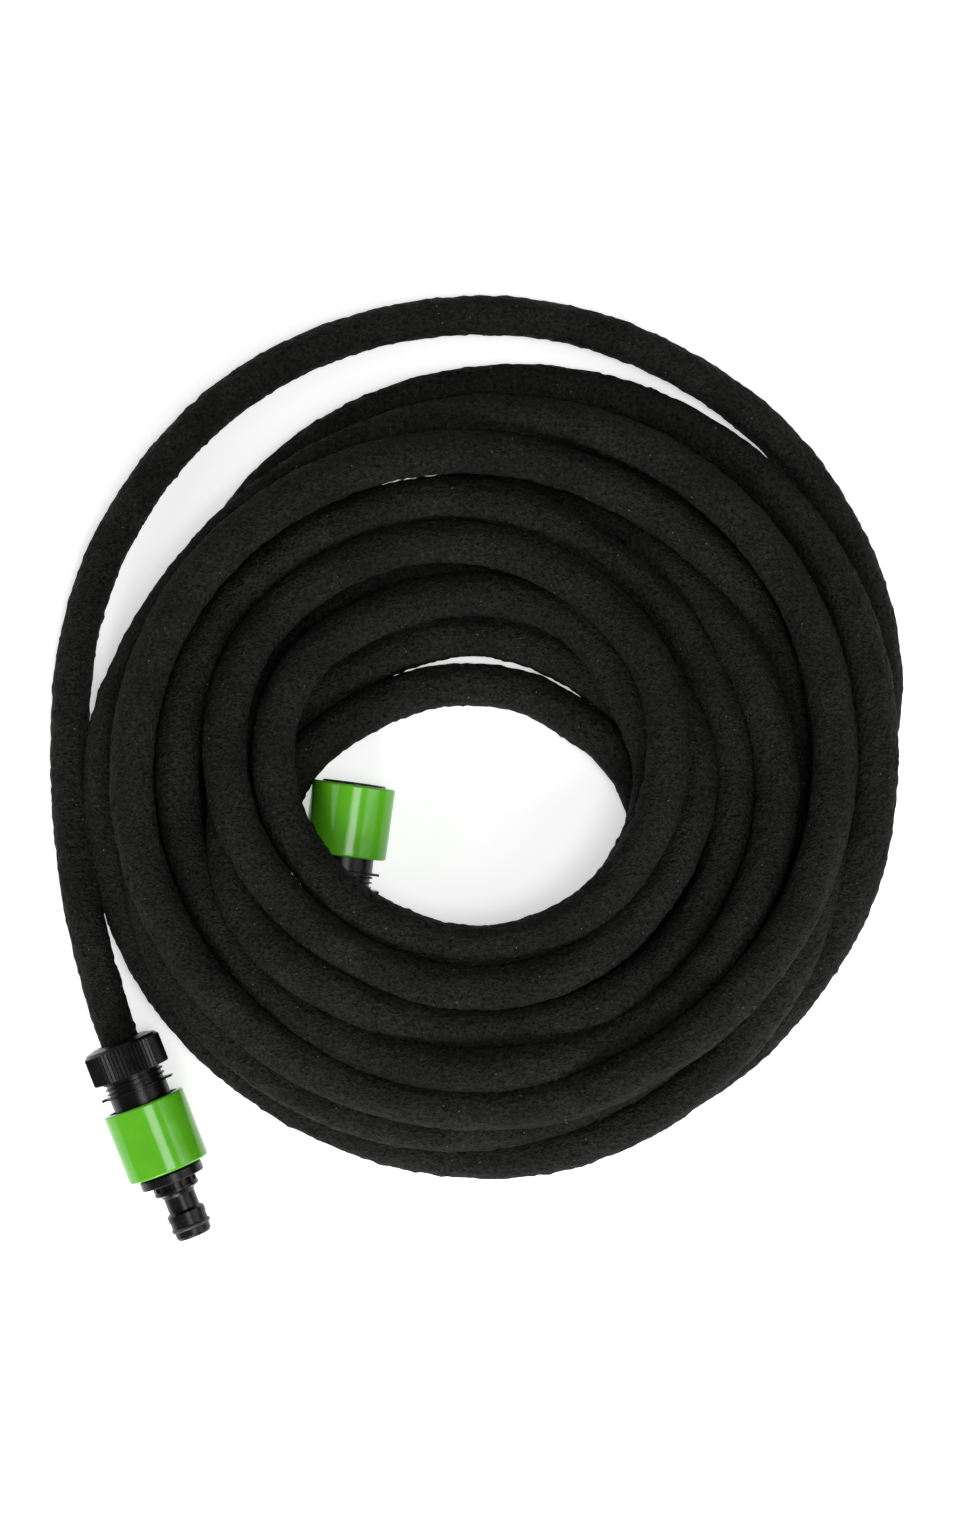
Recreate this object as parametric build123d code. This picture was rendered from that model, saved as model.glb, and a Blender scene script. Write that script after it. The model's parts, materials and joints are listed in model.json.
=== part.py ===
"""Soaker hose: 8.8 m of porous rubber hose in a flat coil, with a quick connector on each end.

Millimetres, +Z up. The coil lies on the floor at z = 0, and the origin is under its middle.
The link connector, with a double male coupler in it, lies beside the coil at -X -Y. The tap
connector lies in the coil's hole. Each connector is made along its own axis: a station is a
distance from the nut's hose end towards the mouth.
"""

from build123d import *
import math
import os

# Hose.
HOSE_DIAMETER = 16.2
HOSE_BORE = 11.5
HOSE_RADIUS = HOSE_DIAMETER / 2
FLOOR_LIE = HOSE_RADIUS  # height of the centre line of a stretch that lies on the floor

# Coil: a low outer ring of turns and a higher inner one, round an oval hole.
COIL_CENTRE = (6.7, -1.2)
COIL_RADIUS = 164.0
COIL_LOW_HEIGHT = 34.0
COIL_HIGH_RADIUS = 118.0
COIL_HEIGHT = 50.0
COIL_EDGE_ROUND = 8.0
HOLE_CENTRE = (-1.5, -20.0)
HOLE_RADII = (65.0, 46.0)

# Where each connector lies: the nut's hose end, and the way its mouth points.
AXIS_HEIGHT = 17.0  # the sleeves rest on the floor
LINK_START = (-146.0, -112.2)
LINK_HEADING = (0.364, -0.931)
TAP_START = (-57.7, -63.0)
TAP_HEADING = (0.1357, 0.991)

# Quick connector.
SLEEVE_RADIUS = 17.0
SLEEVE_BORE = 14.5
SLEEVE_FRONT_BORE = 14.0
SLEEVE_START = 26.8
SLEEVE_END = 56.0
LAND_RADIUS = 11.8
LAND_START = 45.5
LAND_END = 47.3
NUT_RADIUS = 16.0
NUT_LENGTH = 14.2
NUT_RIBS = 60
NUT_HOLE = 8.9
NUT_THREAD_START = 5.6
NUT_THREAD_END = 13.6
THREAD_PITCH = 2.0
THREAD_ROOT = 11.6
THREAD_CREST = 12.65
THREAD_START = 8.6
THREAD_END = 19.2
NUT_THREAD_ROOT = 13.05
NUT_THREAD_CREST = 12.0
TAIL_START = 3.0
TAIL_BORE = 3.5
BARBS = 4
BARB_PITCH = 4.0
COLLAR_START = 8.0
FLANGE_START = 20.1
FLANGE_END = 21.0
FLANGE_RADIUS = 13.2
NECK_RADIUS = 12.1
SHOULDER_START = 29.5
SHOULDER_END = 31.3
SHOULDER_RADIUS = 14.2
CAGE_RADIUS = 11.6
SOCKET_RADIUS = 8.25
SOCKET_FLOOR = 32.6
CLAW_ZONE_RADIUS = 8.6
CLAW_ZONE_START = 43.0
CLAW_ZONE_END = 52.2
MOUTH_RADIUS = 9.6
BODY_END = 54.5
FRONT_RING_RADIUS = 13.0
FRONT_RING_END = 56.8
CLAWS = 3
CLAW_WIDTH = 6.0
CLAW_CLEARANCE = 0.3
CLAW_PIVOT = (9.8, 51.0)  # radius and station
PIN_RADIUS = 0.7
PIN_LENGTH = 8.0
SPRING_RADIUS = 13.1
SPRING_WIRE = 0.6
SPRING_TURNS = 5

# Double male coupler.
COUPLER_STOP = 57.0  # the disc's inner face
DISC_THICKNESS = 3.8
DISC_RADIUS = 13.2
NIPPLE_REACH = 24.1  # from the disc to each tip
RIDGE_RADIUS = 7.95
NIPPLE_NECK = 6.5
COUPLER_BORE = 4.5
SEAL_RADIUS = 7.25
SEAL_WIRE = 0.95

# Hose inside the nut.
HOSE_END = 18.8
STRAIGHT_BEFORE_NUT = 30.0
TUNNEL_RADIUS = 18.0
TUNNEL_START = -8.0


def along(start, heading, station):
    """The point of a connector's axis at a station."""
    return (start[0] + heading[0] * station, start[1] + heading[1] * station, AXIS_HEIGHT)


# Free outer loop of the hose: out of the link connector's nut, along its left side, over the
# top and down the right side to where it slips under the coil.
LOOP_ROUTE = [
    along(LINK_START, LINK_HEADING, HOSE_END),
    along(LINK_START, LINK_HEADING, -STRAIGHT_BEFORE_NUT),
    (-167, -10, FLOOR_LIE),
    (-162, 71, FLOOR_LIE),
    (-112, 145, FLOOR_LIE),
    (-39, 185.5, FLOOR_LIE),
    (45, 185, FLOOR_LIE),
    (119.5, 144, FLOOR_LIE),
    (165, 72, FLOOR_LIE),
    (165.5, 30, FLOOR_LIE),
]


def turned(outline):
    """A solid of revolution about the axis, from a closed outline of (radius, station)."""
    return revolve(make_face(Plane.XZ * Polyline(*outline, close=True)), Axis.Z)


def round_bar(radius, start, end):
    """A cylinder on the axis between two stations."""
    return Pos(0, 0, start) * extrude(Circle(radius), end - start)


def helical_ridge(root, crest, start, end, width_at_root, width_at_crest):
    """A screw thread's ridge, which may point outwards or inwards."""
    section = Polyline(
        (root, -width_at_root / 2),
        (crest, -width_at_crest / 2),
        (crest, width_at_crest / 2),
        (root, width_at_root / 2),
        close=True,
    )
    path = Helix(pitch=THREAD_PITCH, height=end - start, radius=root)
    return Pos(0, 0, start) * sweep(make_face(Plane.XZ * section), path=path, is_frenet=True)


def around(count, solid, first_angle=0.0):
    """Copies of a solid, evenly round the axis."""
    return [Rot(0, 0, first_angle + 360 * i / count) * solid for i in range(count)]


def connector_body():
    """Barbed hose tail, threaded collar, lugged flange, neck and socket cage, in one moulding."""
    barb_low, barb_high = 5.0, 5.6
    barbs = []
    for i in range(BARBS):
        station = TAIL_START + i * BARB_PITCH
        barbs += [(barb_low, station), (barb_high, station + 3.4), (barb_low, station + 3.6)]
    tail = [(TAIL_BORE, TAIL_START), *barbs]
    hose_pocket = [(barb_low, 19.3), (8.6, 19.3), (8.6, 13.4), (9.4, 13.2), (10.8, COLLAR_START)]
    outside = [
        (THREAD_ROOT, COLLAR_START),
        (THREAD_ROOT, FLANGE_START),
        (FLANGE_RADIUS, FLANGE_START),
        (FLANGE_RADIUS, FLANGE_END),
        (NECK_RADIUS, FLANGE_END + 0.3),
        (NECK_RADIUS, SHOULDER_START),
        (SHOULDER_RADIUS, SHOULDER_START),
        (SHOULDER_RADIUS, SHOULDER_END),
        (CAGE_RADIUS, SHOULDER_END),
        (CAGE_RADIUS, BODY_END),
    ]
    socket_steps = [
        (MOUTH_RADIUS, BODY_END),
        (MOUTH_RADIUS, CLAW_ZONE_END),
        (CLAW_ZONE_RADIUS, CLAW_ZONE_END),
        (CLAW_ZONE_RADIUS, CLAW_ZONE_START),
        (SOCKET_RADIUS, CLAW_ZONE_START),
        (SOCKET_RADIUS, SOCKET_FLOOR),
        (6.5, SOCKET_FLOOR),
        (6.5, 23.5),
        (TAIL_BORE, 21.5),
    ]
    outline = tail + hose_pocket + outside + socket_steps
    core = turned(outline)
    core += helical_ridge(THREAD_ROOT - 0.2, THREAD_CREST, THREAD_START, THREAD_END, 1.0, 0.4)
    lug_middle = (FLANGE_START + FLANGE_END) / 2
    lug = Pos(0, 13.5, lug_middle) * Box(5.5, 3.2, FLANGE_END - FLANGE_START)
    core += around(2, lug)
    window_width = CLAW_WIDTH + 2 * CLAW_CLEARANCE
    window = Pos(10.0, 0, 48.1) * Box(5.0, window_width, 9.0)
    socket = Rot(90, 0, 0) * Cylinder(PIN_RADIUS + 0.08, PIN_LENGTH + 0.4)
    window += Pos(CLAW_PIVOT[0], 0, CLAW_PIVOT[1]) * socket
    for cut in around(CLAWS, window):
        core -= cut
    return core


def clamp_nut():
    """Ribbed nut with an internal thread and a domed hose end."""
    outline = []
    for i in range(2 * NUT_RIBS):
        radius = NUT_RADIUS if i % 2 else NUT_RADIUS - 0.55
        angle = math.pi * i / NUT_RIBS
        outline.append((radius * math.cos(angle), radius * math.sin(angle)))
    ribbed = extrude(make_face(Polyline(*outline, close=True)), NUT_LENGTH)
    envelope = turned(
        [
            (NUT_HOLE, 0.0),
            (11.0, 0.0),
            (14.6, 1.1),
            (NUT_RADIUS, 2.6),
            (NUT_RADIUS, 13.8),
            (15.6, NUT_LENGTH),
            (NUT_THREAD_ROOT, NUT_LENGTH),
            (NUT_THREAD_ROOT, 4.0),
            (NUT_HOLE, 4.0),
        ]
    )
    nut = ribbed & envelope
    thread = helical_ridge(
        NUT_THREAD_ROOT + 0.2, NUT_THREAD_CREST, NUT_THREAD_START, NUT_THREAD_END, 0.8, 0.4
    )
    return nut + Rot(0, 0, nut_thread_turn()) * thread


def nut_thread_turn():
    """Degrees that put the nut's ridge half a pitch from the body's ridge."""
    offset = (NUT_THREAD_START - THREAD_START) / THREAD_PITCH + 0.5
    return 360.0 * (offset % 1.0)


def grip_ring():
    """Tapered collet with slots, which the nut squeezes onto the hose."""
    ring = turned(
        [(8.25, 4.2), (10.4, 4.2), (10.4, 8.0), (8.95, 12.8), (8.25, 12.8)]
    )
    slot = Pos(9.5, 0, 9.4) * Box(4.0, 1.2, 7.4)
    for cut in around(8, slot, 22.5):
        ring -= cut
    return ring


def locking_sleeve():
    """Sleeve with an inner land that holds the claws shut."""
    sleeve = turned(
        [
            (SLEEVE_BORE, SLEEVE_START),
            (SLEEVE_RADIUS, SLEEVE_START),
            (SLEEVE_RADIUS, SLEEVE_END),
            (13.3, SLEEVE_END),
            (13.3, 55.0),
            (SLEEVE_FRONT_BORE, 54.4),
            (SLEEVE_FRONT_BORE, LAND_END),
            (LAND_RADIUS, LAND_END),
            (LAND_RADIUS, LAND_START),
            (SLEEVE_BORE, LAND_START),
        ]
    )
    rims = [e for e in sleeve.edges().filter_by(GeomType.CIRCLE) if e.radius > SLEEVE_RADIUS - 0.1]
    return fillet(rims, 0.9)


def sleeve_spring():
    """Wire spring between the body's shoulder and the sleeve's land."""
    height = LAND_START - SHOULDER_END - 2 * SPRING_WIRE - 0.3
    path = Helix(pitch=height / SPRING_TURNS, height=height, radius=SPRING_RADIUS)
    section = Plane(origin=path @ 0, z_dir=path % 0) * Circle(SPRING_WIRE)
    return Pos(0, 0, SHOULDER_END + SPRING_WIRE + 0.1) * sweep(section, path=path, is_frenet=True)


def locking_claw():
    """Lever with a nose that drops behind the plugged nipple's ridge, on two stub pins."""
    side = [
        (6.8, 44.8),
        (6.8, 45.6),
        (9.2, 48.0),
        (9.2, 52.0),
        (11.0, 52.0),
        (11.0, 47.0),
        (10.2, 44.2),
        (9.2, 44.2),
        (9.2, 44.8),
    ]
    lever = extrude(make_face(Plane.XZ * Polyline(*side, close=True)), CLAW_WIDTH / 2, both=True)
    pin = Rot(90, 0, 0) * Cylinder(PIN_RADIUS, PIN_LENGTH)
    return lever + Pos(CLAW_PIVOT[0], 0, CLAW_PIVOT[1]) * pin


def front_ring():
    """Ring on the front of the body, with legs between the claws that stop the sleeve."""
    leg_start, leg_end, leg_bore, bevel = 47.5, 51.5, 11.85, 0.4
    ring = turned(
        [
            (MOUTH_RADIUS, BODY_END),
            (CAGE_RADIUS + 0.05, BODY_END),
            (CAGE_RADIUS + 0.05, leg_end),
            (FRONT_RING_RADIUS, leg_end),
            (FRONT_RING_RADIUS, FRONT_RING_END - bevel),
            (FRONT_RING_RADIUS - bevel, FRONT_RING_END),
            (MOUTH_RADIUS + bevel, FRONT_RING_END),
            (MOUTH_RADIUS, FRONT_RING_END - bevel),
        ]
    )
    leg_band = turned(
        [
            (leg_bore, leg_start),
            (FRONT_RING_RADIUS, leg_start),
            (FRONT_RING_RADIUS, leg_end),
            (leg_bore, leg_end),
        ]
    )
    leg = Pos(12.5, 0, (leg_start + leg_end) / 2) * Box(6.0, 8.4, leg_end - leg_start)
    for wedge in around(CLAWS, leg, 60.0):
        ring += leg_band & wedge
    return ring


def nipple(direction, face):
    """Outline of one end of the coupler, from its disc to its tip and back to its bore."""
    steps = [
        (8.0, 0.0),
        (8.0, 3.0),
        (9.35, 3.0),
        (9.35, 4.2),
        (7.2, 5.2),
        (NIPPLE_NECK, 6.4),
        (NIPPLE_NECK, 12.4),
        (RIDGE_RADIUS, 13.6),
        (RIDGE_RADIUS, 16.0),
        (7.65, 16.2),
        (7.65, 18.75),
        (6.25, 18.75),
        (6.25, 20.75),
        (7.4, 20.75),
        (7.4, 23.0),
        (6.7, NIPPLE_REACH),
        (COUPLER_BORE, NIPPLE_REACH),
    ]
    return [(radius, face + direction * step) for radius, step in steps]


def double_coupler():
    """Double male coupler: two nipples back to back on a disc, with a bore right through."""
    outer_face = COUPLER_STOP + DISC_THICKNESS
    rim = [
        (DISC_RADIUS, COUPLER_STOP + 0.3),
        (DISC_RADIUS, outer_face - 0.3),
        (DISC_RADIUS - 0.3, outer_face),
    ]
    inner = list(reversed(nipple(-1, COUPLER_STOP)))
    outline = inner + [(DISC_RADIUS - 0.3, COUPLER_STOP)] + rim + nipple(1, outer_face)
    coupler = turned(outline)
    tooth = Pos(8.3, 0, outer_face + 1.3) * Box(1.5, 1.6, 2.8)
    coupler += around(12, tooth)
    return coupler


def seal(direction, face):
    """O-ring in the groove near a nipple's tip."""
    return Pos(0, 0, face + direction * 19.75) * Torus(SEAL_RADIUS, SEAL_WIRE)


def corner_radii(route):
    """As large an arc at each corner of a route as its two runs allow."""
    points = [Vector(*p) for p in route]
    radii = []
    for before, corner, after in zip(points, points[1:], points[2:]):
        run_in, run_out = corner - before, after - corner
        half_turn = math.radians(run_in.get_angle(run_out)) / 2
        shorter = min(run_in.length, run_out.length)
        radii.append(0.45 * shorter / math.tan(half_turn))
    return radii


def round_tube(route, radius):
    """A round bar along straight runs joined by tangent arcs."""
    path = FilletPolyline(*route, radius=corner_radii(route))
    section = Plane(origin=path @ 0, z_dir=path % 0) * Circle(radius)
    return sweep(section, path=path), path


def connector_place(start, heading):
    """Location that lays a connector's axis along its heading, with its own X up."""
    plane = Plane(
        origin=(start[0], start[1], AXIS_HEIGHT), x_dir=(0, 0, 1), z_dir=(*heading, 0)
    )
    return plane.location


def hose_loop(place):
    """Free stretch of hose, bored over the link connector's tail."""
    tube, path = round_tube(LOOP_ROUTE, HOSE_RADIUS)
    print("loop radii", [round(r) for r in corner_radii(LOOP_ROUTE)])
    print("loop volume", round(tube.volume), "section x length",
          round(math.pi * HOSE_RADIUS**2 * path.length))
    return tube - place * round_bar(HOSE_BORE / 2, 2.6, HOSE_END + 1)


def hose_tap_end(place):
    """Last straight stretch of hose, from the coil into the tap connector."""
    bar = round_bar(HOSE_RADIUS, TUNNEL_START, HOSE_END)
    return place * (bar - round_bar(HOSE_BORE / 2, 2.6, HOSE_END + 1))


def hose_coil(tap_place):
    """Outer shape of the wound hose, as one solid with an oval hole."""
    rounding = COIL_EDGE_ROUND
    low = Pos(*COIL_CENTRE, 0) * extrude(Circle(COIL_RADIUS), COIL_LOW_HEIGHT)
    low = fillet(low.edges(), rounding)
    high = Pos(*COIL_CENTRE, 0) * extrude(Circle(COIL_HIGH_RADIUS), COIL_HEIGHT)
    high = fillet(high.edges().sort_by(Axis.Z)[-1], rounding)
    hole = Pos(*HOLE_CENTRE, 0) * extrude(Ellipse(*HOLE_RADII), COIL_HEIGHT)
    coil = low + high - hole
    groove, _ = round_tube(LOOP_ROUTE, HOSE_RADIUS + 0.8)
    coil -= groove
    coil -= tap_place * round_bar(TUNNEL_RADIUS, TUNNEL_START, SLEEVE_END + 1.5)
    coil -= tap_place * round_bar(10.5, SLEEVE_END, SLEEVE_END + 18)
    return coil


def write_part(name, solid):
    """One STEP file per sub-part, named after its node."""
    if isinstance(solid, list):
        solid = Compound(children=solid)
    solid.label = name
    export_step(solid, f"parts/{name}.step")


def write_connector(prefix, place):
    """Every piece of one quick connector, laid in its place."""
    pieces = {
        "connector_body": connector_body(),
        "clamp_nut": clamp_nut(),
        "grip_ring": grip_ring(),
        "sleeve": locking_sleeve(),
        "sleeve_spring": sleeve_spring(),
        "front_ring": front_ring(),
    }
    for i, claw in enumerate(around(CLAWS, locking_claw())):
        pieces[f"claw_{i + 1}"] = claw
    for name, solid in pieces.items():
        write_part(f"{prefix}_{name}", place * solid)


def main():
    os.makedirs("parts", exist_ok=True)
    link_place = connector_place(LINK_START, LINK_HEADING)
    tap_place = connector_place(TAP_START, TAP_HEADING)
    write_part("hose_loop", hose_loop(link_place))
    write_part("hose_coil", hose_coil(tap_place))
    write_part("hose_tap_end", hose_tap_end(tap_place))
    write_connector("link", link_place)
    write_connector("tap", tap_place)
    write_part("coupler", link_place * double_coupler())
    write_part("coupler_inner_seal", link_place * seal(-1, COUPLER_STOP))
    write_part("coupler_outer_seal", link_place * seal(1, COUPLER_STOP + DISC_THICKNESS))


main()
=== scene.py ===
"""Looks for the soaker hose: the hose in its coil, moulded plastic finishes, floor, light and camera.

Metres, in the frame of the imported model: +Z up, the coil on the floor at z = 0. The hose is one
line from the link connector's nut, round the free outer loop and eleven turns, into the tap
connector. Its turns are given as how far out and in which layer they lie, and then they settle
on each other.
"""

import bpy
import json
import math
import numpy as np
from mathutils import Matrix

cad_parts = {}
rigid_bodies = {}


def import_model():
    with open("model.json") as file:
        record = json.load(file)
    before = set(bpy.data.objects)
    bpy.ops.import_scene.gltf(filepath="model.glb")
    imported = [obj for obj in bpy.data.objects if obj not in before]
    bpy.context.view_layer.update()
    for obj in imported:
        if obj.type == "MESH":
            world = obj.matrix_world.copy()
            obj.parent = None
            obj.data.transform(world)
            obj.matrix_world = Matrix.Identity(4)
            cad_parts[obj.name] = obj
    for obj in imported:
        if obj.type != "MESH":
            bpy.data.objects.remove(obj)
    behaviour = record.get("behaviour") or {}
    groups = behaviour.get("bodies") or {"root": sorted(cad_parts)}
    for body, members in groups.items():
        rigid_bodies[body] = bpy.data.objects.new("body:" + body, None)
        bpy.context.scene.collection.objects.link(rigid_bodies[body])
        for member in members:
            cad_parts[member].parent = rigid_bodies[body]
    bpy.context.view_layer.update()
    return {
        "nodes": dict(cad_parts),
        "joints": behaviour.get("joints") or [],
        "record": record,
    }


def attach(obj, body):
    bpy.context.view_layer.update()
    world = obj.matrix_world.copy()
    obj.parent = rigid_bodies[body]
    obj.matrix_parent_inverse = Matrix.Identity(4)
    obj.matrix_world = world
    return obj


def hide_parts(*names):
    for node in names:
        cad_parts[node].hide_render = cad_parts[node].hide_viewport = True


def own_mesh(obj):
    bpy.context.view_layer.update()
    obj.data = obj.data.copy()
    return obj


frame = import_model()

# Hose.
HOSE_DIAMETER = 0.0162
HOSE_RADIUS = HOSE_DIAMETER / 2
HOSE_BORE_RADIUS = 0.00575
LOOSE_WIDTH = 0.965  # the free stretch, as a share of the diameter
PRESSED_WIDTH = 1.085  # a turn that others press on is a little wider than it is high
PRESSED_HEIGHT = 0.94
LOOP_LENGTH = 0.62  # the turns are pressed from here on
PRESSED_WITHIN = 0.25
TAIL_LENGTH = 0.03  # before the tap connector the hose is round again
ROUND_WITHIN = 0.08
WAVERS = [(0.006, 23, 0), (0.005, 61, 1)]  # share of the width, radians per metre, start

# Free outer stretch, listed point by point.
LOOP_ROUTE = [
    (-0.1392, -0.1297, 0.017),
    (-0.1569, -0.0843, 0.017),
    (-0.169, -0.010, HOSE_RADIUS),
    (-0.164, 0.073, HOSE_RADIUS),
    (-0.115, 0.148, HOSE_RADIUS),
    (-0.039, 0.1855, HOSE_RADIUS),
    (0.045, 0.185, HOSE_RADIUS),
    (0.1195, 0.144, HOSE_RADIUS),
    (0.157, 0.088, HOSE_RADIUS),
    (0.169, 0.040, HOSE_RADIUS),
]

# Turns. A place is (distance from the middle, layer), every 30 degrees, clockwise seen from
# above. A turn starts at the coil's near side. Layer 0 is on the floor.
COIL_MIDDLE = (0.001, -0.0061)
LAYER_HEIGHT = 0.014
PLACE_STEP = 30.0
FIRST_PLACES = [(0.161, 0.0), (0.140, 0.0), (0.127, 0.2)]
TURNS = [
    [(0.116, 0.9), (0.123, 1.0), (0.133, 0.3), (0.122, 0.0), (0.122, 0.0), (0.134, 0.0),
     (0.141, 0.0), (0.142, 0.0), (0.141, 0.0), (0.142, 0.0), (0.145, 1.0), (0.147, 1.2)],
    [(0.150, 0.1), (0.151, 0.0), (0.153, 0.0), (0.150, 0.1), (0.143, 1.0), (0.143, 1.0),
     (0.148, 0.9), (0.151, 1.0), (0.149, 1.0), (0.143, 1.2), (0.135, 1.9), (0.128, 2.0)],
    [(0.128, 1.2), (0.131, 2.0), (0.136, 2.0), (0.140, 2.0), (0.140, 2.1), (0.136, 2.0),
     (0.132, 1.2), (0.127, 1.0), (0.127, 0.5), (0.127, 0.0), (0.132, 0.7), (0.138, 1.0)],
    [(0.143, 1.0), (0.144, 1.0), (0.144, 0.9), (0.137, 0.1), (0.137, 0.0), (0.151, 0.0),
     (0.162, 0.0), (0.168, 0.0), (0.166, 0.4), (0.158, 1.0), (0.153, 0.1), (0.150, 0.0)],
    [(0.137, 0.0), (0.133, 0.0), (0.118, 0.0), (0.106, 0.0), (0.106, 0.0), (0.117, 0.0),
     (0.119, 0.0), (0.118, 0.4), (0.119, 0.8), (0.122, 1.0), (0.121, 1.2), (0.120, 1.2)],
    [(0.118, 2.0), (0.118, 2.1), (0.120, 1.1), (0.122, 1.0), (0.123, 1.0), (0.119, 1.0),
     (0.115, 1.0), (0.107, 1.0), (0.107, 0.9), (0.106, 0.5), (0.103, 0.2), (0.101, 1.0)],
    [(0.101, 1.0), (0.102, 2.2), (0.106, 1.0), (0.100, 1.1), (0.092, 0.35), (0.0955, 0.0),
     (0.0925, 0.0), (0.092, 0.0), (0.091, 0.3), (0.089, 0.8), (0.084, 1.2), (0.083, 2.0)],
    [(0.083, 1.8), (0.085, 2.2), (0.092, 2.0), (0.102, 1.8), (0.108, 1.2), (0.104, 1.1),
     (0.097, 1.0), (0.089, 1.0), (0.082, 1.3), (0.074, 2.1), (0.069, 2.0), (0.067, 1.8)],
    [(0.067, 1.1), (0.068, 2.0), (0.074, 2.2), (0.083, 1.1), (0.086, 1.0), (0.0790, 0.1),
     (0.0765, 0.0), (0.0755, 0.1), (0.070, 1.0), (0.072, 1.0), (0.070, 1.0), (0.073, 0.8)],
    [(0.091, 0.6), (0.103, 1.3), (0.104, 0.6), (0.092, 0.0), (0.072, 0.0), (0.0622, 0.0),
     (0.0597, 0.0), (0.0595, 0.0), (0.065, 0.0), (0.080, 0.0), (0.090, 0.0), (0.092, 0.0)],
    [(0.075, 0.0), (0.090, 1.2), (0.090, 0.6), (0.0755, 0.0), (0.055, 0.0), (0.0438, 0.0),
     (0.0397, 0.0), (0.0415, 0.0), (0.0487, 0.0), (0.0675, 0.0), (0.086, 0.0), (0.099, 1.0)],
]
# Where the last turn bends away into the tap connector: (degrees past the near side, distance,
# layer).
LAST_PLACES = [(2.0, 0.1233, 0.0), (18.0, 0.1217, 0.0), (31.0, 0.1074, 0.2)]
TURN_POINT_STEP = 7.5  # degrees between the spline's points in a turn

# Tap connector, which the turns lie round and over.
TAP_START = (-0.0577, -0.0630)
TAP_HEADING = (0.1357, 0.9907)
TAP_HEIGHT = 0.017
TAP_LENGTH = 0.052  # its end is round, and covers the sleeve's flat one
TAP_RADIUS = 0.017
TAIL_STATIONS = (-0.014, 0.002, 0.018)
LEAD_IN_POINTS = 4

# Settling.
SETTLE_ROUNDS = 600
CALM_ROUNDS = 80  # the last rounds only part the turns and smooth them
PAIRS_ROUNDS = 5  # rounds between two looks for touching turns
OWN_NEIGHBOURS = 60.0  # degrees of a turn within which it doesn't touch itself
TOUCH_REACH = 1.15 * HOSE_DIAMETER
SAME_LAYER = 0.006  # turns wound with less than this between their heights move aside
BESIDE_LEVEL = 0.6 * HOSE_DIAMETER  # level turns this far apart, seen from above, aren't lifted
BESIDE = 0.75 * HOSE_DIAMETER  # and other turns this far apart move aside as well
PARTING = 0.375
OVER_CONNECTOR = 0.024  # turns wound higher than this pass over the connector
CONNECTOR_GAP = 0.0003
CONNECTOR_LIFT = 0.5
CONNECTOR_ASIDE = 0.3
STIFF_ASIDE = 0.22  # how fast a turn straightens sideways, towards the bend it was wound with
STIFF_UP = 0.08  # and up and down
STIFF_UP_EARLY = 0.12  # more of it, before the calm rounds
KEEP_PLACE = 0.02
SINK = 0.00008

# Hose surface.
RING_STEP = 0.0021  # along the hose
RING_POINTS = 40
BORE_RINGS = 6  # how deep the bore is modelled at each end
GRAIN = 0.0002  # usual height of the crumbs
LUMPS = 0.00012  # and of the lumps

# Camera: straight above, over the origin.
CAMERA_HEIGHT = 1.2
FRAMED_HEIGHT = 0.625  # what the picture's height covers
FRAMED_LEVEL = 0.017  # at this level


def smooth_through(x, y, at):
    """Values of a smooth line through (x, y), at the places given."""
    slopes = np.gradient(y, x)
    i = np.clip(np.searchsorted(x, at, side="right") - 1, 0, len(x) - 2)
    width = x[i + 1] - x[i]
    t = (at - x[i]) / width
    return (
        (2 * t**3 - 3 * t**2 + 1) * y[i]
        + (t**3 - 2 * t**2 + t) * width * slopes[i]
        + (3 * t**2 - 2 * t**3) * y[i + 1]
        + (t**3 - t**2) * width * slopes[i + 1]
    )


def wound_turns():
    """Points of the turns as they are wound, before they settle."""
    places = [(i * PLACE_STEP, *place) for i, place in enumerate(FIRST_PLACES)]
    start = len(FIRST_PLACES) * PLACE_STEP
    for turn in TURNS:
        places += [(start + i * PLACE_STEP, *place) for i, place in enumerate(turn)]
        start += len(turn) * PLACE_STEP
    places += [(start + past, reach, layer) for past, reach, layer in LAST_PLACES]
    angle, reach, layer = np.array(places).T
    at = np.arange(0.0, angle[-1], TURN_POINT_STEP)
    out = smooth_through(angle, reach, at)
    up = HOSE_RADIUS + LAYER_HEIGHT * smooth_through(angle, layer, at)
    turned = np.radians(-at)
    x = COIL_MIDDLE[0] + out * np.cos(turned)
    y = COIL_MIDDLE[1] + out * np.sin(turned)
    return np.stack([x, y, np.maximum(up, HOSE_RADIUS)], axis=1)


def straight_tail():
    """Points of the stretch that runs straight into the tap connector's nut."""
    stations = np.array(TAIL_STATIONS)[:, None]
    flat = np.array(TAP_START) + stations * np.array(TAP_HEADING)
    return np.column_stack([flat, np.full(len(flat), TAP_HEIGHT)])


def bends(points):
    """How far each point is from its neighbours' middle, twice over."""
    out = np.zeros_like(points)
    out[1:-1] = points[:-2] + points[2:] - 2 * points[1:-1]
    return out


def close_pairs(points, skip):
    """Each point with each run of the line that passes under or beside it: i, j and the share."""
    start = points[:-1, :2]
    run = points[1:, :2] - start
    away = points[:, None, :2] - start[None]
    share = np.clip((away * run).sum(2) / (run * run).sum(1), 0, 1)
    gap = np.linalg.norm(away - share[:, :, None] * run, axis=2)
    index = np.arange(len(points))
    elsewhere = np.abs(index[:, None] - index[None, :-1]) > skip
    i, j = np.where((gap < TOUCH_REACH) & elsewhere)
    return i, j, share[i, j][:, None]


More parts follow.
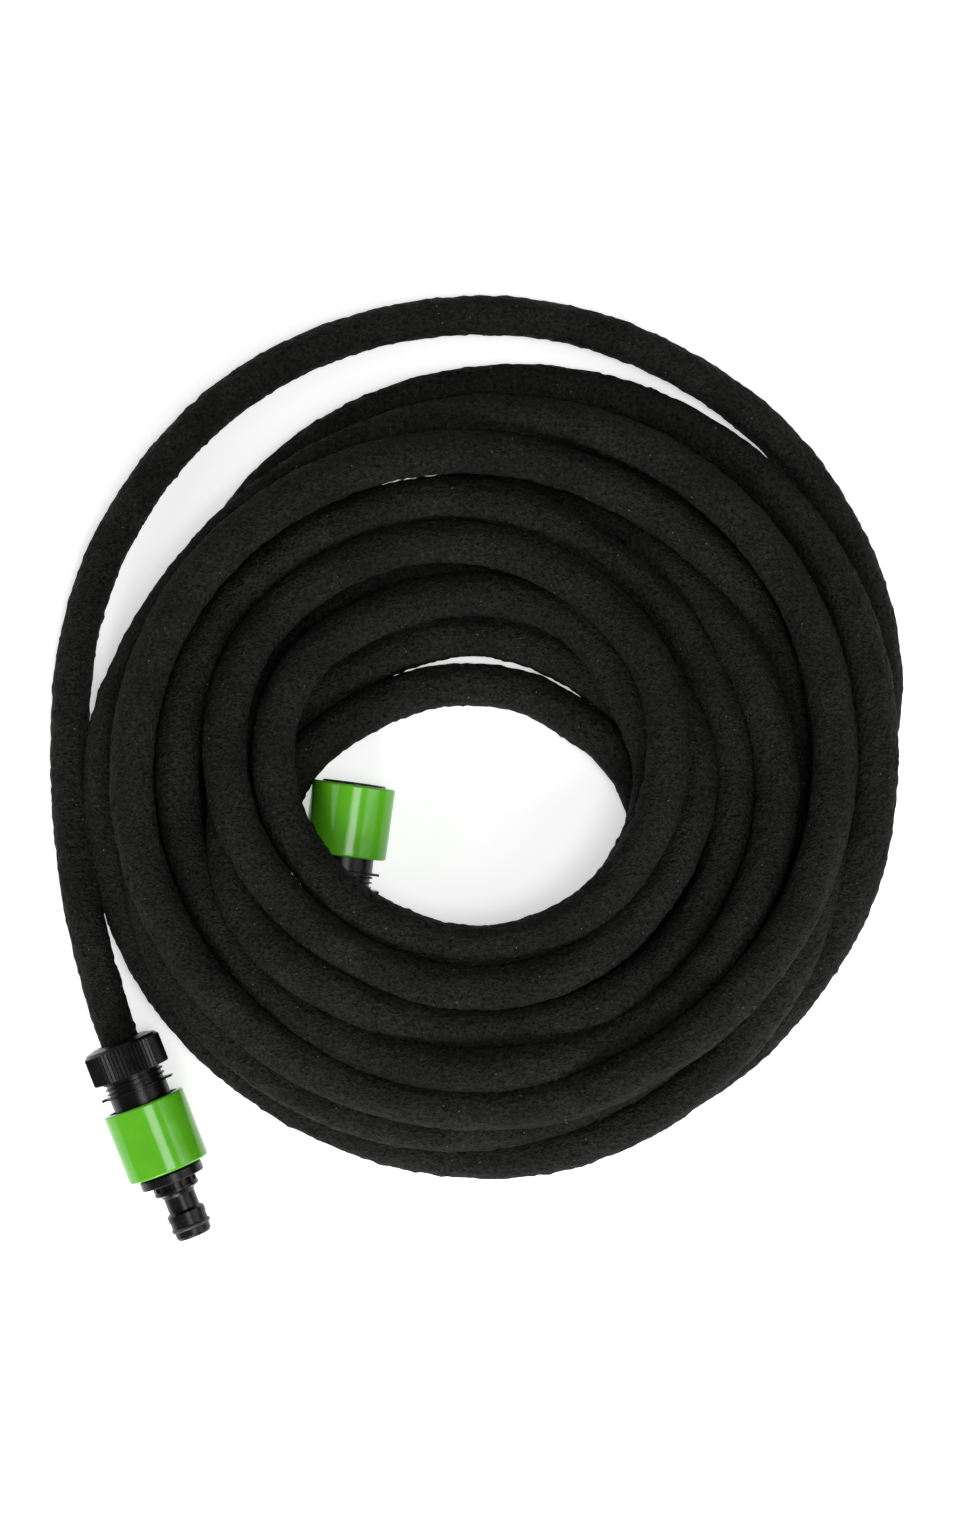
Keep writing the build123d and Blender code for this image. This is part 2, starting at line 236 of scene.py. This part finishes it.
def parting(points, pairs, order):
    """Moves that bring touching turns a diameter apart, upper ones up and level ones aside."""
    i, j, share = pairs
    offset = points[i] - (points[j] * (1 - share) + points[j + 1] * share)
    flat = np.linalg.norm(offset[:, :2], axis=1)
    apart = np.maximum(np.linalg.norm(offset, axis=1), 1e-6)
    over = np.where(order >= 0, 1.0, -1.0)
    level = np.abs(order) < SAME_LAYER
    needed = np.sqrt(np.maximum(HOSE_DIAMETER**2 - flat**2, 0))
    lift = np.maximum(needed - over * offset[:, 2], 0)
    lift[level & (flat > BESIDE_LEVEL)] = 0
    aside = np.where(level | (flat > BESIDE), np.maximum(HOSE_DIAMETER - apart, 0), 0)
    push = offset / apart[:, None] * aside[:, None]
    push[:, 2] += over * lift
    push *= PARTING
    touching = (np.abs(push).sum(axis=1) > 1e-7)[:, None]
    moves = np.zeros_like(points)
    touches = np.zeros((len(points), 1))
    np.add.at(moves, i, push)
    np.add.at(moves, j, -push * (1 - share))
    np.add.at(moves, j + 1, -push * share)
    np.add.at(touches, i, touching)
    np.add.at(touches, j, touching * (1 - share))
    np.add.at(touches, j + 1, touching * share)
    return moves / np.maximum(touches, 1)


def round_connector(points, wound):
    """Moves that keep the turns off the tap connector, beside it or over it."""
    heading = np.array(TAP_HEADING)
    away = points[:, :2] - np.array(TAP_START)
    station = np.clip(away @ heading, 0, TAP_LENGTH)
    offset = away - station[:, None] * heading
    flat = np.maximum(np.linalg.norm(offset, axis=1), 1e-6)
    clear = TAP_RADIUS + HOSE_RADIUS + CONNECTOR_GAP
    top = TAP_HEIGHT + np.sqrt(np.maximum(clear**2 - flat**2, 0))
    near = flat < clear
    over = wound[:, 2] > OVER_CONNECTOR
    touching = near & ~over & (np.hypot(flat, points[:, 2] - TAP_HEIGHT) < clear)
    moves = np.zeros_like(points)
    moves[:, 2] = np.where(near & over, np.maximum(top - points[:, 2], 0) * CONNECTOR_LIFT, 0)
    aside = np.where(touching, (clear - flat) * CONNECTOR_ASIDE / flat, 0)
    moves[:, :2] = offset * aside[:, None]
    return moves


def settled(wound, held_first, held_last):
    """The whole route with its turns resting on the floor and on each other.

    The first and last points are held where they are. The last few free ones lead into the
    connector, so they needn't stay off it.
    """
    points = wound.copy()
    free = np.arange(held_first, len(points) - held_last)
    beside_connector = np.arange(len(points)) < len(points) - held_last - LEAD_IN_POINTS
    wound_bends = bends(wound)
    skip = int(OWN_NEIGHBOURS / TURN_POINT_STEP)
    for step in range(SETTLE_ROUNDS):
        if step % PAIRS_ROUNDS == 0:
            pairs = close_pairs(points, skip)
            i, j, share = pairs
            below = wound[j, 2] * (1 - share[:, 0]) + wound[j + 1, 2] * share[:, 0]
            order = wound[i, 2] - below
        pull = 1.0 if step < SETTLE_ROUNDS - CALM_ROUNDS else 0.0
        moves = parting(points, pairs, order)
        moves += round_connector(points, wound) * beside_connector[:, None]
        now = bends(points)
        straighten = STIFF_ASIDE * (now - wound_bends)[:, :2]
        moves[:, :2] += straighten + KEEP_PLACE * pull * (wound - points)[:, :2]
        moves[:, 2] += (STIFF_UP + STIFF_UP_EARLY * pull) * now[:, 2] - SINK * pull
        points[free] += moves[free]
        points[free, 2] = np.maximum(points[free, 2], HOSE_RADIUS)
    return points


def hose_line():
    """The hose's centre line, as points of one smooth spline from nut to nut."""
    tail = straight_tail()
    wound = np.vstack([LOOP_ROUTE, wound_turns(), tail])
    route = settled(wound, len(LOOP_ROUTE), len(tail))
    data = bpy.data.curves.new("hose_line", "CURVE")
    data.dimensions = "3D"
    data.resolution_u = 10
    spline = data.splines.new("NURBS")
    spline.points.add(len(route) - 1)
    for point, place in zip(spline.points, route):
        point.co = (*place, 1.0)
    spline.order_u = 3
    spline.use_endpoint_u = True
    curve = bpy.data.objects.new("hose_line", data)
    mesh = bpy.data.meshes.new_from_object(curve)
    line = np.array([vertex.co for vertex in mesh.vertices])
    bpy.data.objects.remove(curve)
    bpy.data.meshes.remove(mesh)
    return line


def spaced(line, step):
    """Points along a line, evenly spaced, and how far along each is."""
    runs = np.linalg.norm(np.diff(line, axis=0), axis=1)
    along = np.concatenate([[0.0], np.cumsum(runs)])
    at = np.linspace(0, along[-1], int(along[-1] / step) + 1)
    return np.column_stack([np.interp(at, along, line[:, axis]) for axis in range(3)]), at


def blurred(values, times):
    """A grid of values round and along the hose, softened."""
    for _ in range(times):
        values = values + np.roll(values, 1, 0) + np.roll(values, -1, 0)
        values = values + np.roll(values, 1, 1) + np.roll(values, -1, 1)
        values = values / 9
    return values


def skin_relief(rings):
    """Height of the porous skin over a smooth one: fine crumbs, with broader lumps below them."""
    chance = np.random.default_rng(11)
    crumbs = chance.normal(size=(rings, RING_POINTS))
    lumps = blurred(chance.normal(size=(rings, RING_POINTS)), 3)
    return GRAIN * crumbs + LUMPS * lumps / lumps.std()


def section_shape(along):
    """Half width and half height of the hose at each ring: pressed oval in the coil."""
    pressed = np.clip((along - LOOP_LENGTH) / PRESSED_WITHIN, 0, 1)
    pressed *= np.clip((along[-1] - along - TAIL_LENGTH) / ROUND_WITHIN, 0, 1)
    waver = 1 + sum(share * np.sin(along * rate + start) for share, rate, start in WAVERS)
    width = HOSE_RADIUS * (LOOSE_WIDTH + (PRESSED_WIDTH - LOOSE_WIDTH) * pressed) * waver
    height = HOSE_RADIUS * (LOOSE_WIDTH + (PRESSED_HEIGHT - LOOSE_WIDTH) * pressed)
    return width, height


def hose_mesh(line):
    """Tube of porous hose along the line, bored at both ends."""
    centres, along = spaced(line, RING_STEP)
    rings = len(centres)
    ahead = np.gradient(centres, axis=0)
    ahead /= np.linalg.norm(ahead, axis=1)[:, None]
    aside = np.cross((0.0, 0.0, 1.0), ahead)
    aside /= np.linalg.norm(aside, axis=1)[:, None]
    rise = np.cross(ahead, aside)
    width, height = section_shape(along)
    relief = skin_relief(rings)
    angle = np.linspace(0, 2 * math.pi, RING_POINTS, endpoint=False)
    x = (width[:, None] + relief) * np.cos(angle)
    z = (height[:, None] + relief) * np.sin(angle)
    skin = centres[:, None] + x[:, :, None] * aside[:, None] + z[:, :, None] * rise[:, None]

    def bore(ring, at):
        """A ring of the bore, in the plane of one of the tube's rings."""
        flat = np.cos(angle)[:, None] * aside[ring] + np.sin(angle)[:, None] * rise[ring]
        return centres[at] + HOSE_BORE_RADIUS * flat

    layers = [bore(0, BORE_RINGS), bore(0, 0), *skin, bore(-1, -1), bore(-1, -1 - BORE_RINGS)]
    points = np.concatenate(layers)
    faces = []
    for ring in range(len(layers) - 1):
        base = ring * RING_POINTS
        for k in range(RING_POINTS):
            after = (k + 1) % RING_POINTS
            low, low_after = base + k, base + after
            faces.append((low, low_after, low_after + RING_POINTS, low + RING_POINTS))
    last = (len(layers) - 1) * RING_POINTS
    faces.append(tuple(reversed(range(RING_POINTS))))
    faces.append(tuple(range(last, last + RING_POINTS)))
    mesh = bpy.data.meshes.new("hose")
    mesh.from_pydata(points.tolist(), [], faces)
    mesh.polygons.foreach_set("use_smooth", [True] * len(mesh.polygons))
    mesh.update()
    return mesh, centres


class Finish:
    """A material's node tree, built up a node at a time."""

    def __init__(self, name):
        self.material = bpy.data.materials.new(name)
        self.material.use_nodes = True
        self.nodes = self.material.node_tree.nodes
        self.links = self.material.node_tree.links
        self.shader = self.nodes["Principled BSDF"]
        self.place = self.nodes.new("ShaderNodeTexCoord").outputs["Object"]

    def set(self, **values):
        for name, value in values.items():
            self.shader.inputs[name.replace("_", " ")].default_value = value

    def noise(self, per_metre, detail=2.0, roughness=0.5):
        node = self.nodes.new("ShaderNodeTexNoise")
        node.inputs["Scale"].default_value = per_metre
        node.inputs["Detail"].default_value = detail
        node.inputs["Roughness"].default_value = roughness
        self.links.new(self.place, node.inputs["Vector"])
        return node.outputs["Fac"]

    def cells(self, per_metre):
        node = self.nodes.new("ShaderNodeTexVoronoi")
        node.inputs["Scale"].default_value = per_metre
        self.links.new(self.place, node.inputs["Vector"])
        return node.outputs["Distance"]

    def ramp(self, value, stops):
        node = self.nodes.new("ShaderNodeValToRGB")
        elements = node.color_ramp.elements
        while len(elements) < len(stops):
            elements.new(0.5)
        for element, (position, colour) in zip(elements, stops):
            element.position = position
            element.color = (*colour, 1.0)
        self.links.new(value, node.inputs["Fac"])
        return node.outputs["Color"]

    def mixed(self, first, second, mode):
        node = self.nodes.new("ShaderNodeMix")
        node.data_type = "RGBA"
        node.blend_type = mode
        for name, source in (("A", first), ("B", second)):
            socket = [s for s in node.inputs if s.name == name and s.type == "RGBA"][0]
            self.links.new(source, socket)
        factor = [s for s in node.inputs if s.name == "Factor" and s.type == "VALUE"][0]
        factor.default_value = 1.0
        return [s for s in node.outputs if s.type == "RGBA"][0]

    def to_range(self, value, low, high):
        node = self.nodes.new("ShaderNodeMapRange")
        node.inputs["To Min"].default_value = low
        node.inputs["To Max"].default_value = high
        self.links.new(value, node.inputs["Value"])
        return node.outputs["Result"]

    def bump(self, value, height, before=None):
        node = self.nodes.new("ShaderNodeBump")
        node.inputs["Distance"].default_value = height
        self.links.new(value, node.inputs["Height"])
        if before is not None:
            self.links.new(before, node.inputs["Normal"])
        return node.outputs["Normal"]

    def plug(self, name, source):
        self.links.new(source, self.shader.inputs[name])


def porous_rubber():
    """Black recycled-rubber crumb, bonded: matte, pitted, with a few painted glints: bright specks in
    its colour that stand for highlights.
    """
    finish = Finish("porous_rubber")
    finish.set(Specular_IOR_Level=0.1)
    crumbs = finish.noise(620.0, 4.0, 0.65)
    blotches = finish.noise(45.0, 3.0)
    tone = finish.ramp(crumbs, [(0.32, (0.002, 0.002, 0.0018)), (0.68, (0.024, 0.0238, 0.0215))])
    dusty = finish.ramp(blotches, [(0.35, (0.75, 0.75, 0.75)), (0.65, (1.2, 1.2, 1.18))])
    colour = finish.mixed(tone, dusty, "MULTIPLY")
    # painted highlight: small bright specks added to the rubber's colour as glints
    painted_glints = finish.ramp(finish.cells(200.0), [(0.03, (0.3, 0.3, 0.28)), (0.045, (0, 0, 0))])
    finish.plug("Base Color", finish.mixed(colour, painted_glints, "ADD"))
    finish.plug("Roughness", finish.to_range(crumbs, 0.5, 0.85))
    pits = finish.bump(finish.cells(900.0), 0.001)
    grain = finish.bump(crumbs, 0.0024, pits)
    finish.plug("Normal", grain)
    return finish.material


def green_plastic():
    """Glossy injection-moulded green, with the faint ripple and scuffs of a moulded skin."""
    finish = Finish("green_plastic")
    finish.set(Specular_IOR_Level=0.3, Coat_Weight=0.15, Coat_Roughness=0.05)
    cloud = finish.noise(60.0, 2.0)
    colour = finish.ramp(cloud, [(0.3, (0.078, 0.340, 0.010)), (0.7, (0.095, 0.390, 0.014))])
    finish.plug("Base Color", colour)
    finish.plug("Roughness", finish.to_range(finish.noise(220.0, 4.0), 0.1, 0.2))
    ripple = finish.bump(finish.noise(110.0, 1.0), 0.00012)
    finish.plug("Normal", finish.bump(finish.noise(2600.0, 2.0), 0.00002, ripple))
    return finish.material


def black_plastic():
    """Semi-gloss black moulding, with a spark-eroded grain and slight wear."""
    finish = Finish("black_plastic")
    finish.set(Specular_IOR_Level=0.2)
    cloud = finish.noise(180.0, 4.0)
    colour = finish.ramp(cloud, [(0.35, (0.003, 0.003, 0.003)), (0.75, (0.007, 0.007, 0.0067))])
    finish.plug("Base Color", colour)
    finish.plug("Roughness", finish.to_range(finish.noise(500.0, 3.0), 0.2, 0.34))
    finish.plug("Normal", finish.bump(finish.noise(3000.0, 2.0), 0.00003))
    return finish.material


def spring_steel():
    """Drawn stainless wire."""
    finish = Finish("spring_steel")
    finish.set(Metallic=1.0)
    drawn = finish.noise(900.0, 3.0)
    colour = finish.ramp(drawn, [(0.3, (0.42, 0.41, 0.39)), (0.7, (0.6, 0.59, 0.57))])
    finish.plug("Base Color", colour)
    finish.plug("Roughness", finish.to_range(drawn, 0.22, 0.4))
    finish.plug("Normal", finish.bump(drawn, 0.00002))
    return finish.material


def seal_rubber():
    """Smooth nitrile with a bloom on it."""
    finish = Finish("seal_rubber")
    bloom = finish.noise(700.0, 3.0)
    colour = finish.ramp(bloom, [(0.3, (0.010, 0.010, 0.011)), (0.7, (0.028, 0.028, 0.029))])
    finish.plug("Base Color", colour)
    finish.plug("Roughness", finish.to_range(bloom, 0.4, 0.62))
    finish.plug("Normal", finish.bump(bloom, 0.00003))
    return finish.material


def floor_paint():
    """Pale, very slightly mottled studio floor, faintly lit from below."""
    finish = Finish("studio_floor")
    mottle = finish.noise(3.0, 3.0)
    colour = finish.ramp(mottle, [(0.3, (0.87, 0.87, 0.87)), (0.7, (0.9, 0.9, 0.9))])
    finish.plug("Base Color", colour)
    finish.set(Roughness=0.9, Specular_IOR_Level=0.1)
    finish.set(Emission_Color=(1.0, 1.0, 1.0, 1.0), Emission_Strength=0.5)
    return finish.material


def finish_cad_nodes(finishes):
    """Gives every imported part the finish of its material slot."""
    for part in frame["record"]["subparts"]:
        node = frame["nodes"][part["node"]]
        if not node.material_slots:
            node.data.materials.append(None)
        for material_slot in node.material_slots:
            material_slot.link = "OBJECT"
            material_slot.material = finishes[part["material_slot"]]


def make_hose(finish):
    """The hose as one piece, which stands for its three plain solids."""
    mesh, path = hose_mesh(hose_line())
    mesh.materials.append(finish)
    hose = bpy.data.objects.new("porous_hose", mesh)
    bpy.context.scene.collection.objects.link(hose)
    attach(hose, "hose")
    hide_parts("hose_coil", "hose_loop", "hose_tap_end")


def make_springs(finish):
    """The two sleeve springs, as copies in spring steel fixed to their joints' parent bodies, in
    place of the originals.
    """
    for joint in frame["joints"]:
        for squeezed in joint.get("deforming_nodes", []):
            mesh = frame["nodes"][squeezed["node"]].data.copy()
            mesh.materials.clear()
            mesh.materials.append(finish)
            spring = bpy.data.objects.new(squeezed["node"] + "_wire", mesh)
            bpy.context.scene.collection.objects.link(spring)
            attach(spring, joint["parent"])
            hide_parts(squeezed["node"])
            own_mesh(spring)


def make_floor():
    """A wide pale plane just under the coil."""
    half, level = 3.0, -0.0003
    mesh = bpy.data.meshes.new("floor")
    corners = [(x * half, y * half, level) for x, y in ((-1, -1), (1, -1), (1, 1), (-1, 1))]
    mesh.from_pydata(corners, [], [(0, 1, 2, 3)])
    mesh.materials.append(floor_paint())
    floor = bpy.data.objects.new("floor", mesh)
    bpy.context.scene.collection.objects.link(floor)


def make_lamp(name, place, size, power):
    """A softbox that faces the coil."""
    data = bpy.data.lights.new(name, "AREA")
    data.shape = "RECTANGLE"
    data.size, data.size_y = size
    data.energy = power
    lamp = bpy.data.objects.new(name, data)
    lamp.location = place
    direction = -lamp.location.normalized()
    lamp.rotation_euler = direction.to_track_quat("-Z", "Y").to_euler()
    bpy.context.scene.collection.objects.link(lamp)


def make_light():
    """Soft studio light: a pale room, with softboxes overhead, at both sides and at the near side."""
    world = bpy.data.worlds.new("studio")
    world.use_nodes = True
    world.node_tree.nodes["Background"].inputs["Color"].default_value = (1, 1, 1, 1)
    world.node_tree.nodes["Background"].inputs["Strength"].default_value = 0.22
    bpy.context.scene.world = world
    make_lamp("top_softbox", (0.35, -0.1, 1.7), (0.6, 0.6), 9.5)
    make_lamp("left_softbox", (-1.4, 0.1, 0.8), (0.5, 1.2), 4.0)
    make_lamp("right_softbox", (1.4, 0.0, 0.8), (0.5, 1.2), 7.0)
    make_lamp("near_softbox", (0.0, -1.3, 0.75), (0.9, 0.5), 24.0)


def make_camera():
    """Camera that looks straight down."""
    data = bpy.data.cameras.new("camera")
    data.sensor_fit = "VERTICAL"
    data.angle = 2 * math.atan(FRAMED_HEIGHT / 2 / (CAMERA_HEIGHT - FRAMED_LEVEL))
    data.clip_start = 0.01
    camera = bpy.data.objects.new("camera", data)
    camera.location = (0, 0, CAMERA_HEIGHT)
    bpy.context.scene.collection.objects.link(camera)
    bpy.context.scene.camera = camera


make_camera()
FINISHES = {
    "porous_rubber": porous_rubber(),
    "green_plastic": green_plastic(),
    "black_plastic": black_plastic(),
    "spring_steel": spring_steel(),
    "seal_rubber": seal_rubber(),
}
make_hose(FINISHES["porous_rubber"])
finish_cad_nodes(FINISHES)
make_springs(FINISHES["spring_steel"])
make_floor()
make_light()
bpy.context.scene.view_settings.view_transform = "Standard"
